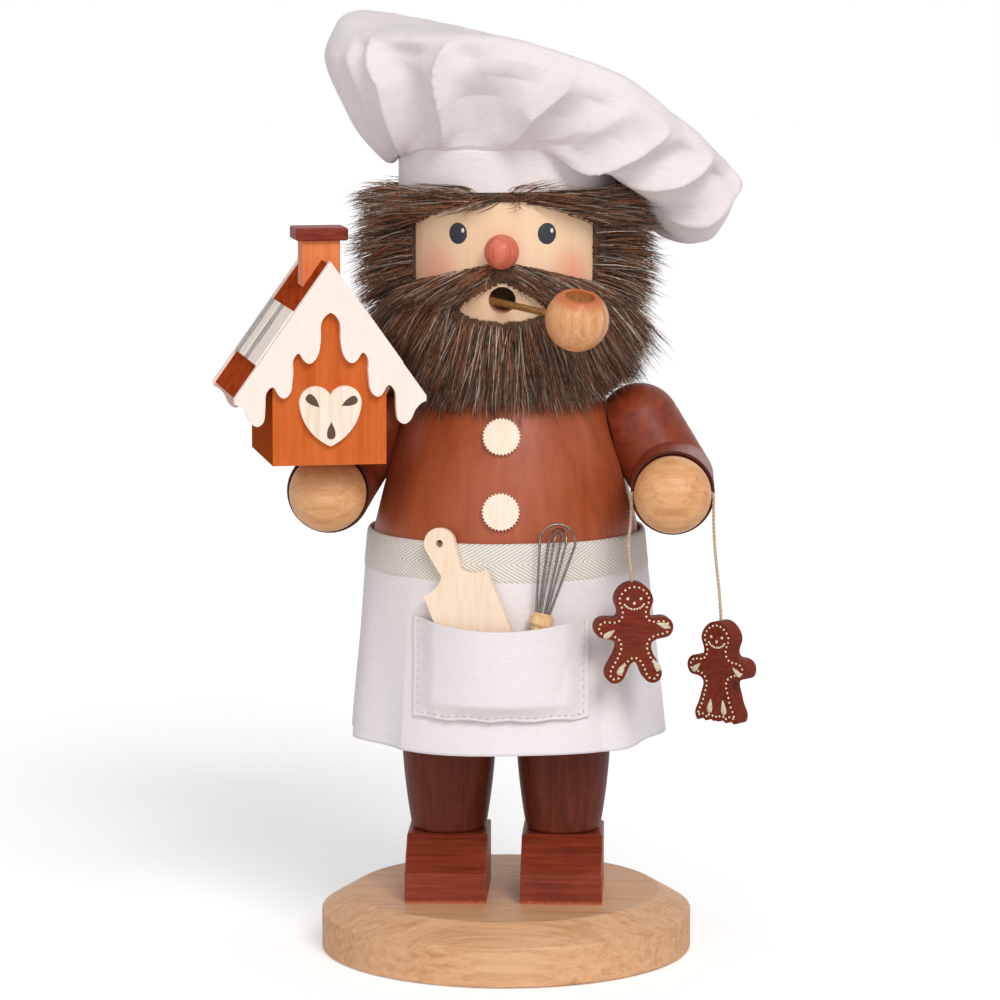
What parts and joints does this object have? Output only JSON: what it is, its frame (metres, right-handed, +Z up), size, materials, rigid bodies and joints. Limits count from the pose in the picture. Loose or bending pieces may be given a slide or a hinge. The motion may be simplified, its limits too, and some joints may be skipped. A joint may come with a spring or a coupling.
{
  "type": "incense smoker figure",
  "caption": "Turned wooden incense smoker: bearded baker with cloth hat and apron, pipe, small house and hanging cookies; the upper body lifts off a cone dish.",
  "frame": {"origin": "centre of the round base's underside", "axes": "+Z up along the figure, the face looks along -Y, +X is to the viewer's right"},
  "size_m": [0.1565, 0.1302, 0.2776],
  "materials": {
    "base_wood": "clear satin lacquer over fine straight grain",
    "dowel_wood": "plain turned beech",
    "shoe_wood": "dark stain with open streaky grain",
    "leg_wood": "dark brown satin stain",
    "torso_wood": "red-brown satin stain",
    "arm_wood": "red-brown satin stain",
    "hand_wood": "clear satin lacquer with visible growth rings",
    "head_wood": "pale satin lacquer with painted cheeks and eyes",
    "nose_wood": "red-brown satin stain",
    "bowl_wood": "clear satin lacquer, scorched orange at the rim",
    "stem_wood": "plain brown stain",
    "button_wood": "pale bare wood",
    "board_wood": "bare pale plywood",
    "whisk_wood": "clear lacquered turned wood",
    "house_wood": "orange-brown stain, darker on the side walls",
    "roof_wood": "dark red-brown stain",
    "icing_wood": "thin cream paint, faint grain",
    "chimney_wood": "orange stain",
    "cap_wood": "dark red stain",
    "gingerbread_wood": "dark brown satin stain with painted dots",
    "fur": "long brown-black pile with pale guard hairs",
    "hat_cloth": "fine white cotton",
    "apron_cloth": "white cotton weave",
    "tape": "herringbone cotton tape",
    "twine": "twisted natural twine",
    "whisk_wire": "drawn steel wire",
    "burner_steel": "pressed sheet steel"
  },
  "bodies": {
    "stand": {"base_disc": "base_wood", "shoe_left": "shoe_wood", "shoe_right": "shoe_wood", "leg_left": "leg_wood", "leg_right": "leg_wood", "hip_block": "leg_wood", "foot_dowels": "dowel_wood", "hip_dowels": "dowel_wood", "burner_plate": "burner_steel", "burner_nail": "burner_steel"},
    "upper_body": {"arm_dowels": "dowel_wood", "house_peg": "dowel_wood", "torso_shell": "torso_wood", "upper_arm_left": "arm_wood", "upper_arm_right": "arm_wood", "forearm_left": "arm_wood", "forearm_right": "arm_wood", "hand_left": "hand_wood", "hand_right": "hand_wood", "head": "head_wood", "nose": "nose_wood", "pipe_bowl": "bowl_wood", "pipe_stem": "stem_wood", "button_lower": "button_wood", "button_upper": "button_wood", "house_body": "house_wood", "house_roof_left": "roof_wood", "house_roof_right": "roof_wood", "icing_front_left": "icing_wood", "icing_front_right": "icing_wood", "icing_rear_left": "icing_wood", "icing_rear_right": "icing_wood", "roof_panel_left": "icing_wood", "roof_panel_right": "icing_wood", "house_heart": "icing_wood", "house_chimney": "chimney_wood", "chimney_cap": "cap_wood", "hair_fur": "fur", "beard_fur": "fur", "moustache_fur": "fur", "hat_band": "hat_cloth", "hat_crown": "hat_cloth", "apron_skirt": "apron_cloth", "apron_pocket": "apron_cloth", "apron_waistband": "tape", "string_over_hand": "twine"},
    "string_man": {"string_man": "twine"},
    "gingerbread_man": {"gingerbread_man": "gingerbread_wood"},
    "string_woman": {"string_woman": "twine"},
    "gingerbread_woman": {"gingerbread_woman": "gingerbread_wood"},
    "cutting_board": {"cutting_board": "board_wood"},
    "whisk": {"whisk_handle": "whisk_wood", "whisk_wires": "whisk_wire"}
  },
  "joints": [
    {"name": "torso_lift", "type": "slide", "parent": "stand", "child": "upper_body", "axis": [0, 0, 1], "range_m": [0, 0.06]},
    {"name": "string_man_swing", "type": "hinge", "parent": "upper_body", "child": "string_man", "pos_m": [0.0374, -0.04377, 0.1397], "axis": [-1, 0, 0], "range_deg": [-2, 35]},
    {"name": "gingerbread_man_twist", "type": "hinge", "parent": "string_man", "child": "gingerbread_man", "pos_m": [0.03785, -0.04377, 0.1112], "axis": [0, 0, 1], "range_deg": [-30, 30]},
    {"name": "string_woman_swing", "type": "hinge", "parent": "upper_body", "child": "string_woman", "pos_m": [0.0606, -0.04377, 0.1397], "axis": [-1, 0, 0], "range_deg": [-20, 35]},
    {"name": "gingerbread_woman_twist", "type": "hinge", "parent": "string_woman", "child": "gingerbread_woman", "pos_m": [0.06325, -0.04377, 0.1002], "axis": [0, 0, 1], "range_deg": [-60, 60]},
    {"name": "board_slide", "type": "slide", "parent": "upper_body", "child": "cutting_board", "axis": [-0.3793, 0.1793, 0.9078], "range_m": [0, 0.015]},
    {"name": "whisk_slide", "type": "slide", "parent": "upper_body", "child": "whisk", "axis": [0.1973, 0.1246, 0.9724], "range_m": [0, 0.012]}
  ]
}
